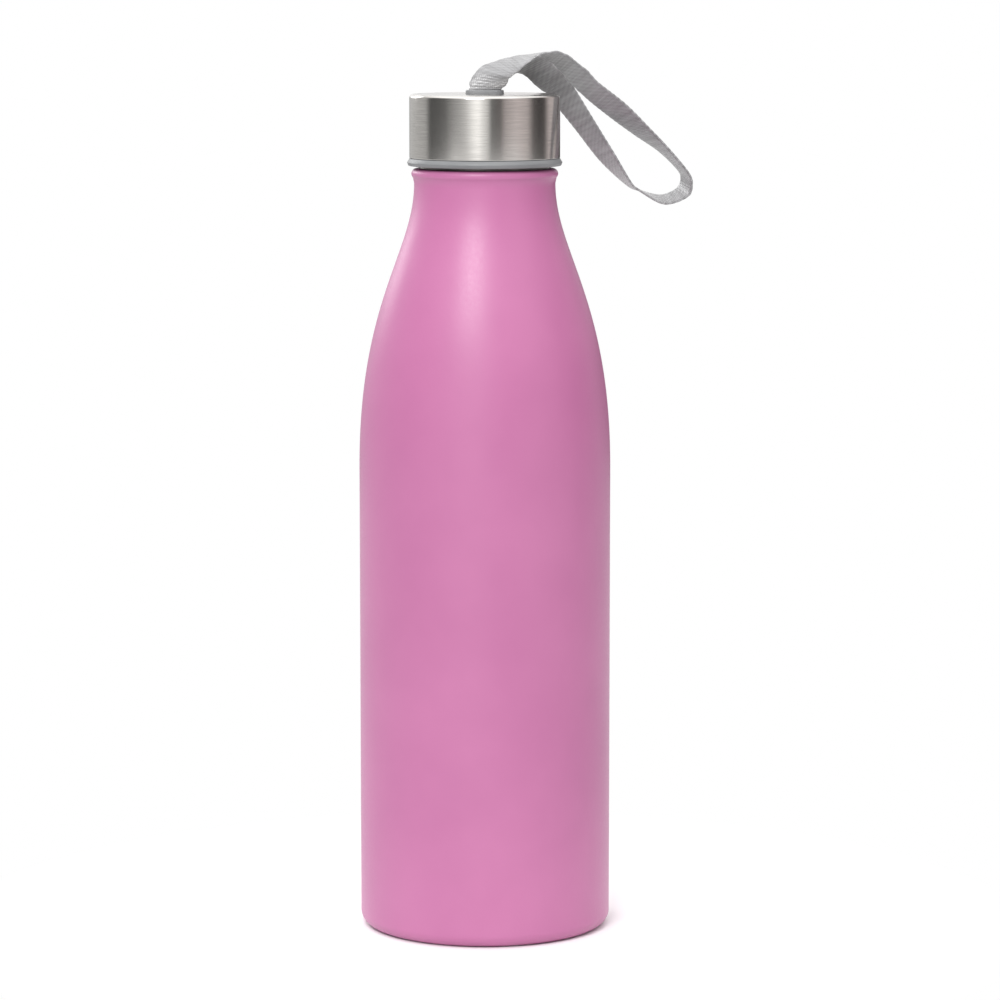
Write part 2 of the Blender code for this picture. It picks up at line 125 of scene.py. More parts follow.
# The ribbon's route in millimetres, from under the pin up through the slot, round the loop and back
# down to the pin: the middle of the ribbon, and the direction of its width.
RIBBON_ROUTE = (
    ((0.0, 0.0, 236.2), (1.0, 0.0, 0.0)),
    ((0.0, -1.4, 236.8), (1.0, 0.0, 0.0)),
    ((0.0, -2.0, 238.2), (1.0, 0.0, 0.0)),
    ((0.0, -1.5, 239.7), (1.0, 0.0, 0.0)),
    ((0.0, -0.8, 241.5), (1.0, 0.0, 0.0)),
    ((0.0, -0.8, 244.0), (1.0, 0.0, 0.0)),
    ((2.0, -1.0, 248.0), (0.9, -0.35, -0.2)),
    ((3.5, -0.5, 249.5), (0.75, -0.6, -0.3)),
    ((8.0, 0.5, 251.5), (0.4, -0.85, -0.3)),
    ((11.0, 1.5, 253.0), (0.35, -0.95, -0.15)),
    ((14.0, 2.0, 254.0), (0.3, -0.95, 0.0)),
    ((17.0, 3.0, 254.5), (0.25, -0.95, 0.1)),
    ((21.5, 4.5, 253.0), (0.3, -0.9, 0.3)),
    ((27.0, 7.0, 248.0), (0.4, -0.85, 0.4)),
    ((31.0, 8.5, 244.0), (0.45, -0.75, 0.45)),
    ((38.5, 11.5, 238.0), (0.55, -0.7, 0.4)),
    ((45.5, 13.5, 232.0), (0.5, -0.85, 0.25)),
    ((52.5, 15.0, 226.0), (0.4, -0.9, 0.0)),
    ((58.0, 16.0, 220.0), (0.35, -0.95, -0.1)),
    ((59.0, 16.5, 217.0), (0.35, -0.95, -0.15)),
    ((58.0, 17.0, 214.0), (0.35, -0.9, -0.2)),
    ((54.0, 17.0, 212.0), (0.2, -0.95, -0.25)),
    ((50.5, 17.0, 212.0), (0.1, -0.95, -0.2)),
    ((45.0, 17.0, 214.5), (0.0, -1.0, 0.05)),
    ((42.0, 17.0, 216.5), (0.15, -1.0, 0.1)),
    ((35.5, 16.5, 224.5), (0.45, -0.85, 0.3)),
    ((28.5, 16.5, 234.5), (0.6, -0.7, 0.35)),
    ((21.0, 15.5, 245.0), (0.8, -0.45, 0.45)),
    ((18.0, 15.0, 248.0), (0.8, -0.4, 0.45)),
    ((15.0, 14.0, 250.5), (0.8, -0.45, 0.4)),
    ((11.0, 12.5, 251.5), (0.8, -0.45, 0.4)),
    ((6.5, 9.5, 251.0), (0.8, -0.5, 0.35)),
    ((3.5, 6.5, 250.0), (0.85, -0.5, 0.2)),
    ((1.5, 3.5, 248.5), (0.9, -0.4, 0.1)),
    ((0.0, 0.8, 244.0), (1.0, 0.0, 0.0)),
    ((0.0, 0.8, 241.5), (1.0, 0.0, 0.0)),
    ((0.0, 1.5, 239.7), (1.0, 0.0, 0.0)),
    ((0.0, 2.0, 238.2), (1.0, 0.0, 0.0)),
    ((0.0, 1.4, 236.8), (1.0, 0.0, 0.0)),
)

# Camera
CAMERA_PLACE = (0.0044, -1.2, 0.2794)
CAMERA_PITCH = radians(7.324)
CAMERA_LENS = 149.4

# Studio
FLOOR_HALF = 1.0  # small, so that the steel mirrors the surroundings and not the floor
KEY_POWER = 8.5
RIM_POWER = 3.2


# ---------------------------------------------------------------- meshes


def piece(name, vertices, faces, look, body, stands_for):
    """A closed mesh that rides on a body and stands for CAD nodes."""
    mesh = bpy.data.meshes.new(name)
    mesh.from_pydata(vertices, [], faces)
    made = bpy.data.objects.new(name, mesh)
    bpy.context.scene.collection.objects.link(made)
    return finished(made, look, body, stands_for)


def finished(made, look, body, stands_for):
    clean(made.data)
    made.data.materials.clear()
    made.data.materials.append(look)
    if body:
        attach(made, body)
    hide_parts(*stands_for)
    return made


def clean(mesh):
    """Faces pointing out, shaded smooth up to thirty degrees."""
    bm = bmesh.new()
    bm.from_mesh(mesh)
    bmesh.ops.recalc_face_normals(bm, faces=bm.faces)
    bm.to_mesh(mesh)
    bm.free()
    mesh.shade_smooth()
    mesh.set_sharp_from_angle(angle=pi / 6)


def lathe(outline, segments):
    """Vertices and faces of an outline turned about Z. It is closed, or ends on the axis."""
    vertices = []
    rings = []
    for radius, height in outline:
        if radius < 1e-7:
            rings.append([len(vertices)] * segments)
            vertices.append((0.0, 0.0, height))
            continue
        rings.append([len(vertices) + k for k in range(segments)])
        turn = [tau * k / segments for k in range(segments)]
        vertices += [(radius * cos(a), radius * sin(a), height) for a in turn]
    pairs = list(zip(rings, rings[1:]))
    if outline[0][0] > 1e-7 or outline[-1][0] > 1e-7:
        pairs.append((rings[-1], rings[0]))
    faces = []
    for low, high in pairs:
        for k in range(segments):
            after = (k + 1) % segments
            corners = dict.fromkeys((low[k], low[after], high[after], high[k]))
            faces.append(tuple(corners))
    return vertices, faces


def arc(centre, radius, start, end, steps):
    angles = [radians(start + (end - start) * i / steps) for i in range(steps + 1)]
    return [(centre[0] + radius * cos(a), centre[1] + radius * sin(a)) for a in angles]


def bezier(a, b, c, d, steps):
    points = []
    for i in range(steps + 1):
        t = i / steps
        weights = ((1 - t) ** 3, 3 * (1 - t) ** 2 * t, 3 * (1 - t) * t * t, t**3)
        points.append(tuple(sum(w * p[k] for w, p in zip(weights, (a, b, c, d))) for k in (0, 1)))
    return points


def even(a, b, steps):
    """Points between two others, without the ends."""
    return [tuple(p + (q - p) * i / steps for p, q in zip(a, b)) for i in range(1, steps)]


def inset(points, distance):
    """The outline moved to the right of its direction, corner by corner."""
    moved = []
    for i, here in enumerate(points):
        here = Vector(here)
        before = Vector(points[max(i - 1, 0)])
        after = Vector(points[min(i + 1, len(points) - 1)])
        into = (here - before).normalized() if i else (after - here).normalized()
        out = (after - here).normalized() if i < len(points) - 1 else into
        sides = [Vector((way.y, -way.x)) for way in (into, out)]
        middle = (sides[0] + sides[1]).normalized()
        moved.append(tuple(here + middle * distance / max(middle.dot(sides[0]), 0.3)))
    return moved


def heights(high, low, spacing):
    steps = round((high - low) / spacing)
    return [high + (low - high) * i / steps for i in range(steps + 1)]


def smooth_step(t):
    t = min(max(t, 0.0), 1.0)
    return t * t * (3 - 2 * t)


def ridge(x, y, z, span, phase):
    """Height of the right-hand helical ridge at a point of the wall."""
    turns = (z - NECK_THREAD[0]) / THREAD_PITCH - atan2(y, x) / tau + phase
    wave = 0.5 + 0.5 * cos(tau * turns)
    fade = smooth_step((z - span[0]) / THREAD_FADE) * smooth_step((span[1] - z) / THREAD_FADE)
    return THREAD_DEPTH * wave * wave * fade


def threaded(vertices, radii, span, phase, side):
    """The vertices with those on these walls moved along the thread."""
    moved = []
    for x, y, z in vertices:
        radius = (x * x + y * y) ** 0.5
        on_wall = any(abs(radius - wall) < 0.01 * MM for wall in radii)
        if on_wall and span[0] <= z <= span[1]:
            grown = 1 + side * ridge(x, y, z, span, phase) / radius
            x, y = x * grown, y * grown
        moved.append((x, y, z))
    return moved


def evaluated(made):
    """The object with its modifiers applied."""
    graph = bpy.context.evaluated_depsgraph_get()
    mesh = bpy.data.meshes.new_from_object(made.evaluated_get(graph))
    made.modifiers.clear()
    made.data = mesh
    return made


def loose(name, vertices, faces):
    """A helper solid for a Boolean."""
    mesh = bpy.data.meshes.new(name)
    mesh.from_pydata(vertices, [], faces)
    clean(mesh)
    made = bpy.data.objects.new(name, mesh)
    bpy.context.scene.collection.objects.link(made)
    return made


def combine(target, helper, operation):
    modifier = target.modifiers.new(helper.name, "BOOLEAN")
    modifier.operation = operation
    modifier.object = helper
    evaluated(target)
    bpy.data.objects.remove(helper, do_unlink=True)


def rounded_outline(half, corner, steps=10):
    """Points round an upright rectangle with rounded corners, as (x, y)."""
    points = []
    for k, (sx, sy) in enumerate(((1, 1), (-1, 1), (-1, -1), (1, -1))):
        centre = (sx * (half[0] - corner), sy * (half[1] - corner))
        points += arc(centre, corner, 90 * k, 90 * (k + 1), steps)
    return points


def stacked(loops):
    """Vertices and faces of a solid from loops of (points, height), bottom to top."""
    count = len(loops[0][0])
    vertices = [(x, y, z) for points, z in loops for x, y in points]
    faces = [tuple(range(count))[::-1]]
    for row in range(len(loops) - 1):
        low, high = row * count, (row + 1) * count
        for k in range(count):
            after = (k + 1) % count
            faces.append((low + k, low + after, high + after, high + k))
    faces.append(tuple(range(len(vertices) - count, len(vertices))))
    return vertices, faces


# ---------------------------------------------------------------- materials


def shader(name, color, roughness, metallic=0.0):
    made = bpy.data.materials.new(name)
    made.use_nodes = True
    surface = made.node_tree.nodes["Principled BSDF"]
    surface.inputs["Base Color"].default_value = (*color, 1.0)
    surface.inputs["Roughness"].default_value = roughness
    surface.inputs["Metallic"].default_value = metallic
    return made, made.node_tree, surface


def node(tree, kind, settings=None, **inputs):
    """A node with its settings and its inputs, which are values or the outputs of other nodes."""
    made = tree.nodes.new("ShaderNode" + kind)
    for key, value in (settings or {}).items():
        setattr(made, key, value)
    for key, value in inputs.items():
        socket = made.inputs[int(key[1:])] if key[1:].isdigit() else made.inputs[key.replace("_", " ")]
        if isinstance(value, bpy.types.NodeSocket):
            tree.links.new(value, socket)
        else:
            socket.default_value = value
    return made


def math(tree, operation, *values):
    inputs = {f"i{i}": value for i, value in enumerate(values)}
    return node(tree, "Math", {"operation": operation}, **inputs).outputs[0]


def noise(tree, vector, scale, detail=3.0):
    made = node(tree, "TexNoise", Vector=vector, Scale=scale, Detail=detail)
    return made.outputs["Fac"]


def mapped(tree, value, low, high, to_low, to_high):
    made = node(tree, "MapRange", Value=value, From_Min=low, From_Max=high, To_Min=to_low, To_Max=to_high)
    return made.outputs["Result"]


def blended(tree, share, first, second):
    made = node(tree, "Mix", {"data_type": "RGBA"}, i0=share)
    made.inputs[6].default_value = (*first, 1.0)
    made.inputs[7].default_value = (*second, 1.0)
    return made.outputs[2]


def bumped(tree, surface, height, distance, strength=1.0):
    made = node(tree, "Bump", Height=height, Distance=distance, Strength=strength)
    tree.links.new(made.outputs["Normal"], surface.inputs["Normal"])


def place(tree):
    return node(tree, "TexCoord").outputs["Object"]


def powder_coat():
    """Satin pink powder coat: fine orange peel, faint cloudiness, and rubbed patches on the base ring."""
    made, tree, surface = shader("powder_coat", (0.49, 0.16, 0.33), 0.4)
    here = place(tree)
    clouds = noise(tree, here, 28.0)
    grain = noise(tree, here, 1500.0, 2.0)
    peel = noise(tree, here, 520.0, 2.0)
    cloudy = mapped(tree, clouds, 0.35, 0.65, 0.0, 1.0)
    tone = blended(tree, cloudy, (0.475, 0.15, 0.32), (0.51, 0.168, 0.345))
    height = node(tree, "SeparateXYZ", Vector=here).outputs["Z"]
    low = mapped(tree, height, 0.0002, 0.0009, 1.0, 0.0)
    rubbed = math(tree, "MULTIPLY", low, mapped(tree, noise(tree, here, 320.0), 0.52, 0.7, 0.0, 0.45))
    worn = node(tree, "Mix", {"data_type": "RGBA"}, i0=rubbed, i6=tone)
    worn.inputs[7].default_value = (0.5, 0.42, 0.45, 1.0)
    tree.links.new(worn.outputs[2], surface.inputs["Base Color"])
    tree.links.new(mapped(tree, grain, 0.3, 0.7, 0.34, 0.42), surface.inputs["Roughness"])
    both = math(tree, "ADD", math(tree, "MULTIPLY", peel, 0.7), math(tree, "MULTIPLY", grain, 0.3))
    bumped(tree, surface, both, 0.03 * MM)
    return made


def streaks(tree, around, across):
    """Noise drawn out round the Z axis: around is its rate with the angle, across with distance."""
    parts = node(tree, "SeparateXYZ", Vector=place(tree)).outputs
    squares = [math(tree, "MULTIPLY", parts[axis], parts[axis]) for axis in ("X", "Y")]
    radius = math(tree, "SQRT", math(tree, "ADD", *squares))
    safe = math(tree, "MAXIMUM", radius, 0.0001)
    ways = [math(tree, "DIVIDE", parts[axis], safe) for axis in ("X", "Y")]
    turn = [math(tree, "MULTIPLY", way, around) for way in ways]
    travel = math(tree, "MULTIPLY", math(tree, "ADD", parts["Z"], radius), across)
    vector = node(tree, "CombineXYZ", X=turn[0], Y=turn[1], Z=travel).outputs[0]
    return noise(tree, vector, 1.0, 4.0)


def steel(name, color, roughness, anisotropy, depth):
    """Steel with fine lines that run round the Z axis."""
    made, tree, surface = shader(name, color, roughness, metallic=1.0)
    surface.inputs["Anisotropic"].default_value = anisotropy
    surface.inputs["Anisotropic Rotation"].default_value = 0.25
    tangent = node(tree, "Tangent", {"direction_type": "RADIAL", "axis": "Z"})
    tree.links.new(tangent.outputs[0], surface.inputs["Tangent"])
    fine = streaks(tree, 4.0, 3600.0)
    coarse = streaks(tree, 1.0, 1900.0)
    lines = math(tree, "ADD", math(tree, "MULTIPLY", fine, 0.65), math(tree, "MULTIPLY", coarse, 0.35))
    light = tuple(min(c * 1.09, 1.0) for c in color)
    dark = tuple(c * 0.89 for c in color)
    tone = blended(tree, mapped(tree, lines, 0.35, 0.65, 0.0, 1.0), dark, light)
    tree.links.new(tone, surface.inputs["Base Color"])
    rough = mapped(tree, lines, 0.35, 0.65, roughness * 1.2, roughness * 0.85)
    tree.links.new(rough, surface.inputs["Roughness"])
    bumped(tree, surface, lines, depth)
    return made


def plastic(name, dark, light, roughness):
    """Moulded plastic with an eroded texture and faint flow marks."""
    made, tree, surface = shader(name, light, roughness)
    here = place(tree)
    grain = noise(tree, here, 2600.0, 2.0)
    flow = noise(tree, here, 90.0, 3.0)
    tone = blended(tree, mapped(tree, flow, 0.35, 0.65, 0.0, 1.0), dark, light)
    tree.links.new(tone, surface.inputs["Base Color"])
    rough = mapped(tree, grain, 0.3, 0.7, roughness - 0.05, roughness + 0.07)
    tree.links.new(rough, surface.inputs["Roughness"])
    bumped(tree, surface, grain, 0.02 * MM)
    return made


def silicone():
    made, tree, surface = shader("silicone", (0.78, 0.78, 0.76), 0.5)
    surface.inputs["Subsurface Weight"].default_value = 0.15
    surface.inputs["Subsurface Scale"].default_value = 0.001
    here = place(tree)
    tone = blended(tree, noise(tree, here, 120.0), (0.7, 0.7, 0.68), (0.82, 0.82, 0.8))
    tree.links.new(tone, surface.inputs["Base Color"])
    tree.links.new(mapped(tree, noise(tree, here, 900.0), 0.3, 0.7, 0.45, 0.6), surface.inputs["Roughness"])
    bumped(tree, surface, noise(tree, here, 1800.0), 0.015 * MM)
    return made


def webbing():
    """Ribbed satin ribbon. The weave map holds millimetres along and across the ribbon."""
    made, tree, surface = shader("ribbon_weave", (0.27, 0.27, 0.28), 0.45)
    surface.inputs["Sheen Weight"].default_value = 0.4
    surface.inputs["Sheen Roughness"].default_value = 0.4
    surface.inputs["Specular IOR Level"].default_value = 0.9
    weave = node(tree, "UVMap", {"uv_map": "weave"}).outputs[0]
    parts = node(tree, "SeparateXYZ", Vector=weave).outputs
    warp = math(tree, "MULTIPLY", parts["Y"], tau / 0.9)
    offset = math(tree, "MULTIPLY", parts["Y"], tau / 1.6)
    weft = math(tree, "ADD", math(tree, "MULTIPLY", parts["X"], tau / (2 * RIB_PITCH / MM)), offset)
    thread = math(tree, "MULTIPLY", math(tree, "SINE", warp), math(tree, "SINE", weft))
    over = mapped(tree, thread, -1.0, 1.0, 0.0, 1.0)
    stretched = node(tree, "Mapping", Vector=weave, Scale=(0.5, 6.0, 1.0)).outputs[0]
    fibres = noise(tree, stretched, 1.0, 3.0)
    bars = noise(tree, node(tree, "Mapping", Vector=weave, Scale=(0.75, 0.08, 1.0)).outputs[0], 1.0, 1.0)
    uneven = mapped(tree, bars, 0.35, 0.65, 0.0, 1.0)
    mix = ((over, 0.4), (fibres, 0.25), (uneven, 0.35))
    weighted = [math(tree, "MULTIPLY", pattern, weight) for pattern, weight in mix]
    share = math(tree, "ADD", math(tree, "ADD", weighted[0], weighted[1]), weighted[2])
    tone = blended(tree, share, (0.15, 0.147, 0.151), (0.37, 0.37, 0.38))
    tree.links.new(tone, surface.inputs["Base Color"])
    tree.links.new(mapped(tree, over, 0.0, 1.0, 0.46, 0.28), surface.inputs["Roughness"])
    bumped(tree, surface, share, 0.06 * MM)
    return made


# ---------------------------------------------------------------- bottle


def shoulder():
    waist_low = (WAIST[0], WAIST[1] - WAIST_PULL)
    body_high = (BODY_RADIUS, SHOULDER_START + SHOULDER_PULL)
    return bezier(WAIST, waist_low, body_high, (BODY_RADIUS, SHOULDER_START), 64)


def coated_outline():
    """The outside from the top of the bead to the hollow under the base."""
    points = arc((BEAD[0] - BEAD_ROUND, BEAD[1]), BEAD_ROUND, 90, -45, 20)
    points += shoulder()
    heel = arc((BODY_RADIUS - HEEL_RADIUS, HEEL_RADIUS), HEEL_RADIUS, 0, -90, 20)
    points += even(points[-1], heel[0], 12) + heel
    points += arc((RECESS_RADIUS + RECESS_FILLET, RECESS_FILLET), RECESS_FILLET, -90, -180, 8)
    return points


def coat(look):
    outside = coated_outline()
    top = (NECK_RADIUS + 0.5 * MM, outside[0][1])
    outside = [top] + outside + [(RECESS_RADIUS, RECESS_FILLET + 0.6 * MM)]
    inside = inset(outside, COAT)[::-1]
    vertices, faces = lathe(outside + inside, FINE)
    return piece("powder_coat", vertices, faces, look, "bottle", ["bottle_shell"])


def steel_shell(look):
    under_coat = inset(coated_outline(), COAT + COAT_GAP)
    foot = BEAD[1] + BEAD_ROUND
    mouth = arc((NECK_RADIUS - LIP_ROUND, MOUTH_HEIGHT - LIP_ROUND), LIP_ROUND, 180, 0, 14)
    rows = heights(*NECK_THREAD[::-1], THREAD_ROW)
    neck = [(NECK_RADIUS, z) for z in rows]
    fillet = [(NECK_RADIUS, foot + 0.5 * MM), (NECK_RADIUS + 0.15 * MM, foot + 0.1 * MM)]
    fillet += [(NECK_RADIUS + 0.45 * MM, foot - COAT - COAT_GAP)]
    recess = [(RECESS_RADIUS + COAT, RECESS_HEIGHT)]
    inside = inset(coated_outline() + [(RECESS_RADIUS, RECESS_HEIGHT)], WALL)[::-1]
    inner_foot = [(NECK_RADIUS - WALL, foot - WALL)]
    inner_neck = [(NECK_RADIUS - WALL, z) for z in rows[::-1]]
    outline = mouth + neck + fillet + under_coat + recess + inside + inner_foot + inner_neck
    vertices, faces = lathe(outline, FINE)
    walls = (NECK_RADIUS, NECK_RADIUS - WALL)
    vertices = threaded(vertices, walls, NECK_THREAD, 0.0, 1)
    return piece("steel_shell", vertices, faces, look, "bottle", ["bottle_shell"])


def base(look):
    """The bottom disc: a flange in the recess, a pressed step and a low dome."""
    rim = DISC[1].x
    foot = DISC[0].z
    top = RECESS_HEIGHT - WALL / 2
    crown = DISC[1].z
    corner = arc((rim - 1.4 * MM, top - 0.9 * MM), 0.9 * MM, 90, 0, 8)
    above = [(0.0, crown)]
    dome_edge = (22 * MM, top + 0.6 * MM)
    above += bezier((0.1 * MM, crown), (14 * MM, crown), (18 * MM, top + 0.9 * MM), dome_edge, 24)
    above += arc((24 * MM, top + 0.25 * MM), 0.5 * MM, 150, 30, 8)
    above += [(rim - 2.6 * MM, top)] + corner
    below = inset(above, WALL)[::-1]
    below[-1] = (0.0, crown - WALL)
    vertices, faces = lathe(above + flange(rim, foot, top) + below, FINE)
    return piece("base_disc_pressed", vertices, faces, look, "bottle", ["base_disc"])


def flange(rim, foot, top):
    """The turned-down edge that is welded into the recess."""
    edge = 0.2 * MM
    return [
        (rim, top - 0.9 * MM),
        (rim, foot + edge),
        (rim - edge, foot),
        (rim - WALL + edge, foot),
        (rim - WALL, foot + edge),
    ]


# ---------------------------------------------------------------- cap


def cap_cup(look):
    """The brushed steel cup, with a rolled rim and a slot for the collar."""
    inner = CAP_RADIUS - WALL
    ceiling = CAP_TOP - WALL
    rim = WALL / 2
    outside = [(0.0, CAP_TOP)] + even((0.0, CAP_TOP), (CAP_RADIUS - CAP_ROUND, CAP_TOP), 6)
    outside += arc((CAP_RADIUS - CAP_ROUND, CAP_TOP - CAP_ROUND), CAP_ROUND, 90, 0, 14)
    outside += arc((CAP_RADIUS - rim, CAP_BOTTOM + rim), rim, 0, -180, 10)
    inside = arc((inner - CAP_ROUND / 2, ceiling - CAP_ROUND / 2), CAP_ROUND / 2, 0, 90, 6)
    vertices, faces = lathe(outside + inside + [(0.0, ceiling)], FINE)
    made = loose("cap_cup", vertices, faces)
    reach = 0.3 * MM
    half = (COLLAR_HALF[0] + reach, COLLAR_HALF[1] + reach)
    loop = rounded_outline(half, half[1], 16)
    cutter = loose("cap_cup_slot", *stacked([(loop, ceiling - reach), (loop, CAP_TOP + reach)]))
    combine(made, cutter, "DIFFERENCE")
    return finished(made, look, "cap", ["cap_shell"])


def insert(look):
    """The threaded plastic insert, with the flared lip that shows under the steel."""
    wall = CAP_RADIUS - WALL - 0.3 * MM
    lip_top = CAP_BOTTOM - 0.1 * MM
    shelf = INSERT_TOP - 1.3 * MM
    soft = 0.3 * MM
    outside = [(wall - 0.7 * MM, INSERT_TOP), (wall, INSERT_TOP - 0.7 * MM), (wall, lip_top)]
    outside += [(CAP_RADIUS - 0.05 * MM, lip_top), (CAP_RADIUS + 0.05 * MM, lip_top - 0.1 * MM)]
    outside += arc((LIP_RADIUS - soft, LIP_BOTTOM + 0.95 * MM), soft, 20, -25, 5)
    outside += arc((LIP_RADIUS - 0.55 * MM, LIP_BOTTOM + soft), soft, -25, -90, 5)
    mouth = arc((INSERT_BORE + 0.7 * MM, LIP_BOTTOM + 0.7 * MM), 0.7 * MM, -90, -180, 6)
    bore = [(INSERT_BORE, z) for z in heights(*CAP_THREAD[::-1], THREAD_ROW)[::-1]]
    groove = [(INSERT_BORE, SEAL_GROOVE_TOP), (SEAL_GROOVE_INNER, SEAL_GROOVE_TOP)]
    groove += [(SEAL_GROOVE_INNER, INSERT_CEILING + 0.2 * MM), (SEAL_GROOVE_INNER - 0.2 * MM, INSERT_CEILING)]
    pocket = [(POCKET_RADIUS, INSERT_CEILING), (POCKET_RADIUS, shelf)]
    pocket += [(COLLAR[1].x + 0.3 * MM, shelf), (COLLAR[1].x + 0.3 * MM, INSERT_TOP)]
    vertices, faces = lathe(outside + mouth + bore + groove + pocket, FINE)
    vertices = threaded(vertices, (INSERT_BORE,), CAP_THREAD, 0.5, -1)
    return piece("threaded_insert", vertices, faces, look, "cap", ["cap_insert"])


def seal(look):
    """The sealing ring: a flat back and two soft lips towards the mouth."""
    low, high = SEAL[0].z, SEAL[1].z
    outer = SEAL[1].x
    inner = outer - 2.5 * MM
    lip = 0.55 * MM
    outline = [(inner, high), (outer, high)]
    outline += arc((outer - lip, low + lip), lip, 0, -180, 10)
    outline += arc((inner + lip, low + lip), lip, 0, -180, 10)
    vertices, faces = lathe(outline, FINE)
    return piece("sealing_ring", vertices, faces, look, "seal", ["seal_ring"])


def plug(look):
    """The cup that closes the ribbon's pocket, seen from below inside the cap."""
    bottom, rim_top = PLUG[0].z, PLUG[1].z
    rim_radius = PLUG[1].x
    rim_low = rim_top - 1.3 * MM
    wall = 10.2 * MM
    bore = 9.0 * MM
    soft = 0.6 * MM
    floor = bottom + 1.2 * MM
    gate = [(0.0, bottom + 0.35 * MM), (0.9 * MM, bottom + 0.3 * MM), (1.2 * MM, bottom + 0.05 * MM)]
    groove = [(6.15 * MM, bottom + 0.2 * MM), (6.65 * MM, bottom + 0.2 * MM)]
    below = gate + [(1.4 * MM, bottom), (6.0 * MM, bottom)] + groove + [(6.8 * MM, bottom)]
    below += arc((wall - soft, bottom + soft), soft, -90, 0, 8)
    rim = arc((wall + 0.5 * MM, rim_low - 0.5 * MM), 0.5 * MM, 180, 90, 5)
    rim += arc((rim_radius - 0.3 * MM, rim_low + 0.3 * MM), 0.3 * MM, -90, 0, 4)
    inside = [(bore, rim_top), (bore, floor + 0.3 * MM), (bore - 0.3 * MM, floor), (0.0, floor)]
    vertices, faces = lathe(below + rim + [(rim_radius, rim_top)] + inside, SMALL)
    return piece("closing_plug", vertices, faces, look, "cap", ["inner_plug"])


def collar(look):
    """The ribbon's collar: a rim round the slot, a flange under the steel and two lugs for the pin."""
    top, bottom = COLLAR[1].z, COLLAR[0].z
    flange_top = INSERT_TOP
    edge = 0.35 * MM
    disc = [(0.0, flange_top - 1.0 * MM), (COLLAR[1].x, flange_top - 1.0 * MM), (COLLAR[1].x, flange_top)]
    made = loose("ribbon_collar", *lathe(disc + [(0.0, flange_top)], SMALL))
    loops = [(rounded_outline(COLLAR_HALF, COLLAR_HALF[1], 16), flange_top - 0.5 * MM)]
    for step in range(6):
        angle = pi / 2 * step / 5
        lost = edge * (1 - cos(angle))
        half = (COLLAR_HALF[0] - lost, COLLAR_HALF[1] - lost)
        loops.append((rounded_outline(half, half[1], 16), top - edge + edge * sin(angle)))
    combine(made, loose("collar_rim", *stacked(loops)), "UNION")
    for side in (1, -1):
        centre = side * (COLLAR_HALF[0] + 0.3 * MM)
        loop = [(x + centre, y) for x, y in rounded_outline((0.8 * MM, 2.4 * MM), 0.3 * MM, 4)]
        lug = stacked([(loop, bottom), (loop, flange_top - 0.5 * MM)])
        combine(made, loose(f"collar_lug_{side}", *lug), "UNION")
    loops = [(rounded_outline(SLOT_HALF, 0.5 * MM, 8), bottom - edge)]
    for step in range(5):
        angle = pi / 2 * step / 4
        gained = edge * (1 - cos(angle))
        half = (SLOT_HALF[0] + gained * 0.7, SLOT_HALF[1] + gained * 0.7)
        loops.append((rounded_outline(half, 0.5 * MM, 8), top - edge + (edge + 0.02 * MM) * sin(angle)))
    combine(made, loose("collar_slot", *stacked(loops)), "DIFFERENCE")
    pin_middle = (PIN[0] + PIN[1]) / 2
    radius = (PIN[1].z - PIN[0].z) / 2 + 0.3 * MM
    ring = [tau * k / 32 for k in range(32)]
    reach = PIN[1].x + 0.3 * MM
    turned = [(pin_middle.y + radius * cos(a), pin_middle.z + radius * sin(a)) for a in ring]
    vertices, faces = stacked([(turned, -reach), (turned, reach)])
    bore = [(z, x, y) for x, y, z in vertices]
    combine(made, loose("collar_bore", bore, faces), "DIFFERENCE")
    return finished(made, look, "cap", ["strap_collar"])


# ---------------------------------------------------------------- ribbon


def route_samples():
    """The closed Catmull-Rom curve through the route, evenly spaced: middles, widths and distances."""
    track = np.array([point + width for point, width in RIBBON_ROUTE])
    track[:, :3] *= MM
    dense = []
    for i in range(len(track)):
        a, b, c, d = (track[(i + k) % len(track)] for k in (-1, 0, 1, 2))
        for k in range(48):
            t = k / 48
            bend = (2 * a - 5 * b + 4 * c - d) * t * t
            dense.append((2 * b + (c - a) * t + bend + (3 * b - a - 3 * c + d) * t**3) / 2)
    dense = np.array(dense)
    travel = np.concatenate([[0.0], np.cumsum(np.linalg.norm(np.diff(dense[:, :3], axis=0), axis=1))])
    count = round(travel[-1] / RIBBON_STEP)
    along = np.linspace(0.0, travel[-1], count + 1)
    smooth = np.array([np.interp(along, travel, dense[:, k]) for k in range(6)]).T
    return smooth[:, :3], smooth[:, 3:], along


def unit(vectors):
    return vectors / np.linalg.norm(vectors, axis=1)[:, None]


def section(half_width, half_thick):
    """Points round the ribbon's flat section, as (across, up), with rounded selvedges."""
    flat = [half_width * (-0.93 + 1.86 * k / 9) for k in range(10)]
    end = [radians(90 - 180 * k / 4) for k in range(1, 4)]
    right = [(half_width * 0.93 + half_width * 0.07 * cos(a), half_thick * sin(a)) for a in end]
    top = [(x, half_thick) for x in flat]
    return top + right + [(-x, -y) for x, y in top] + [(-x, -y) for x, y in right]


